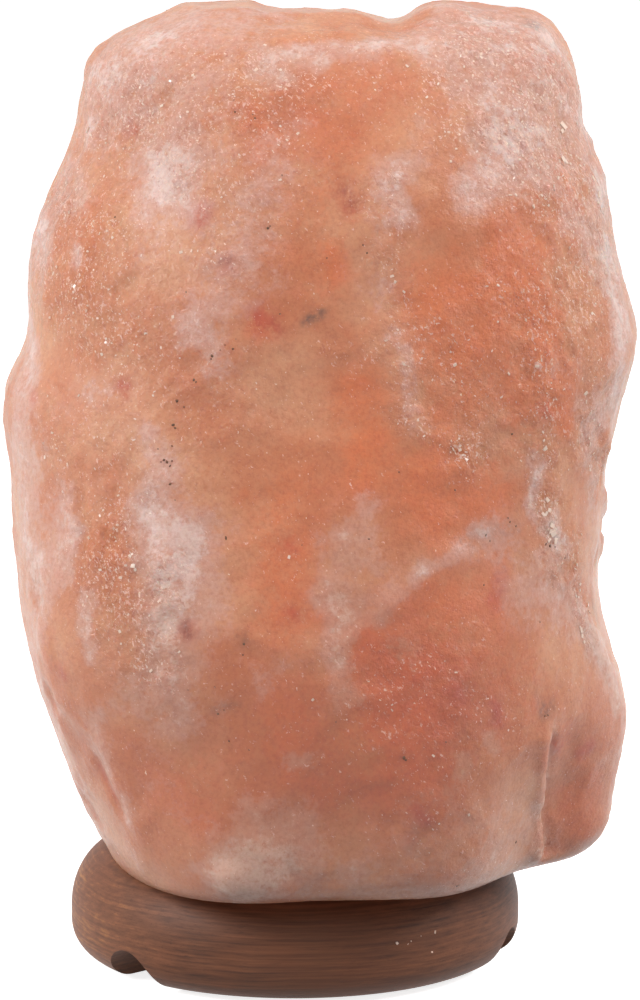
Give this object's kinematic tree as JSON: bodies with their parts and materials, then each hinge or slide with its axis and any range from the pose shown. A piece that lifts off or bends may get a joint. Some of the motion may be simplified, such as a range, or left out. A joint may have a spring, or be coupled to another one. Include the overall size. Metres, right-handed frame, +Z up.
{
  "type": "salt crystal lamp",
  "caption": "Table lamp of rough rock salt on a turned wooden base, with a screw-cap bulb in a spring-clip holder pushed up from below.",
  "frame": {"origin": "on the surface it stands on, under the middle of the whole lamp's outline", "axes": "+Z up, -Y to the front, +X to the right seen from the front"},
  "size_m": [0.1821, 0.1644, 0.2773],
  "materials": {
    "rock_salt": "rough broken faces, translucent",
    "turned_wood": "turned, stained and oiled",
    "felt": "pressed felt",
    "zinc_plated_steel": "bright zinc plate",
    "nylon": "moulded",
    "brass": "turned",
    "moulded_plastic": "moulded, fine matt grain",
    "steatite": "pressed and fired, unglazed",
    "spring_steel": "rolled strip",
    "clear_glass": "blown, clear",
    "nickel_plated_brass": "nickel plate",
    "black_glass": "pressed black glass",
    "solder": "soft solder",
    "nickel_wire": "drawn wire",
    "tungsten": "coiled wire"
  },
  "bodies": {
    "root": {"salt_crystal": "rock_salt", "wood_base": "turned_wood", "foot_pad_1": "felt", "foot_pad_2": "felt", "foot_pad_3": "felt", "base_screws": "zinc_plated_steel", "block_plugs": "nylon"},
    "lamp_holder": {"clip_plate": "zinc_plated_steel", "cord_inlet": "brass", "lock_nut": "brass", "holder_cap": "moulded_plastic", "contact_carrier": "steatite", "screw_shell": "brass", "centre_contact": "brass", "terminals": "brass", "terminal_screws": "zinc_plated_steel", "holder_sleeve": "moulded_plastic", "spring_clip_1": "spring_steel", "spring_clip_2": "spring_steel", "spring_clip_3": "spring_steel", "clip_rivets": "zinc_plated_steel"},
    "bulb": {"bulb_glass": "clear_glass", "bulb_cap": "nickel_plated_brass", "bulb_insulator": "black_glass", "bulb_end_contact": "solder", "glass_stem": "clear_glass", "lead_wires": "nickel_wire", "filament": "tungsten"}
  },
  "joints": [
    {"name": "holder_pull", "type": "slide", "parent": "root", "child": "lamp_holder", "axis": [0, 0, 1], "range_m": [-0.11, 0]},
    {"name": "bulb_unscrew", "type": "slide", "parent": "lamp_holder", "child": "bulb", "axis": [0, 0, 1], "range_m": [0, 0.02]}
  ]
}
